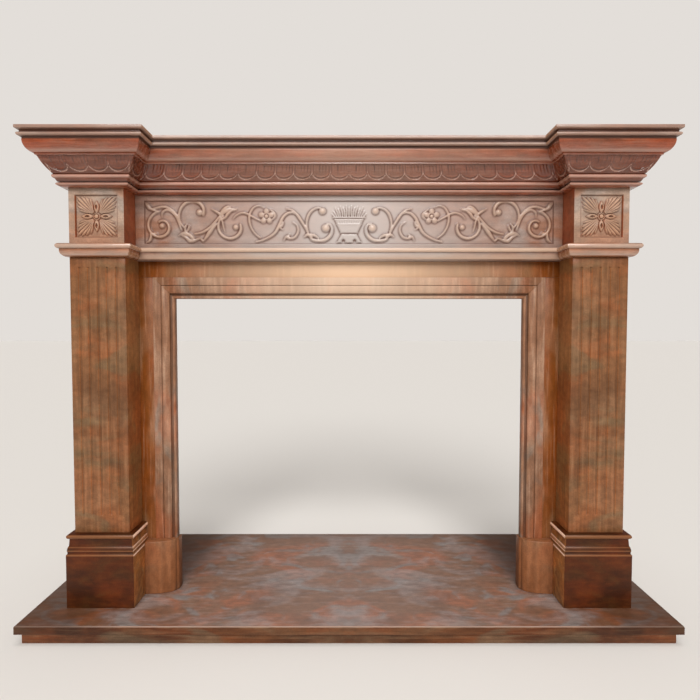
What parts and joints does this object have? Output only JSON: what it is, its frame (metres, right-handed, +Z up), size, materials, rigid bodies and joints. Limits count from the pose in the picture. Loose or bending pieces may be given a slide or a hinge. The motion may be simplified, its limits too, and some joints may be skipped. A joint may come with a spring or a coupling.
{
  "type": "fireplace mantel",
  "caption": "Stone fireplace mantel with fluted pilasters, a scroll-carved frieze, a leaf-banded cornice that breaks forward over the pilasters, and a stepped hearth.",
  "frame": {"origin": "on the floor, under the middle of the hearth", "axes": "+Z up, +X to the right along the shelf as seen from the front, -Y towards the room, +Y towards the wall"},
  "size_m": [1.886, 0.645, 1.4521],
  "materials": {
    "hearth_stone": "polished red-brown marble, mottled with blue-grey and rust",
    "mantel_stone": "honed and waxed red-brown marble with grey and pinkish clouds",
    "frieze_stone": "honed pale pinkish brown marble with carved relief"
  },
  "bodies": {
    "root": {"hearth_base": "hearth_stone", "hearth_slab": "hearth_stone", "plinth_left": "mantel_stone", "plinth_right": "mantel_stone", "foot_block_left": "mantel_stone", "foot_block_right": "mantel_stone", "shaft_left": "mantel_stone", "shaft_right": "mantel_stone", "slip_left": "mantel_stone", "slip_right": "mantel_stone", "slip_head": "mantel_stone", "architrave_left": "mantel_stone", "architrave_right": "mantel_stone", "architrave_head": "mantel_stone", "impost_left": "mantel_stone", "impost_right": "mantel_stone", "frieze_moulding": "frieze_stone", "frieze_block_left": "frieze_stone", "frieze_block_right": "frieze_stone", "frieze_panel": "frieze_stone", "bed_moulding": "mantel_stone", "shelf": "mantel_stone"}
  },
  "joints": []
}
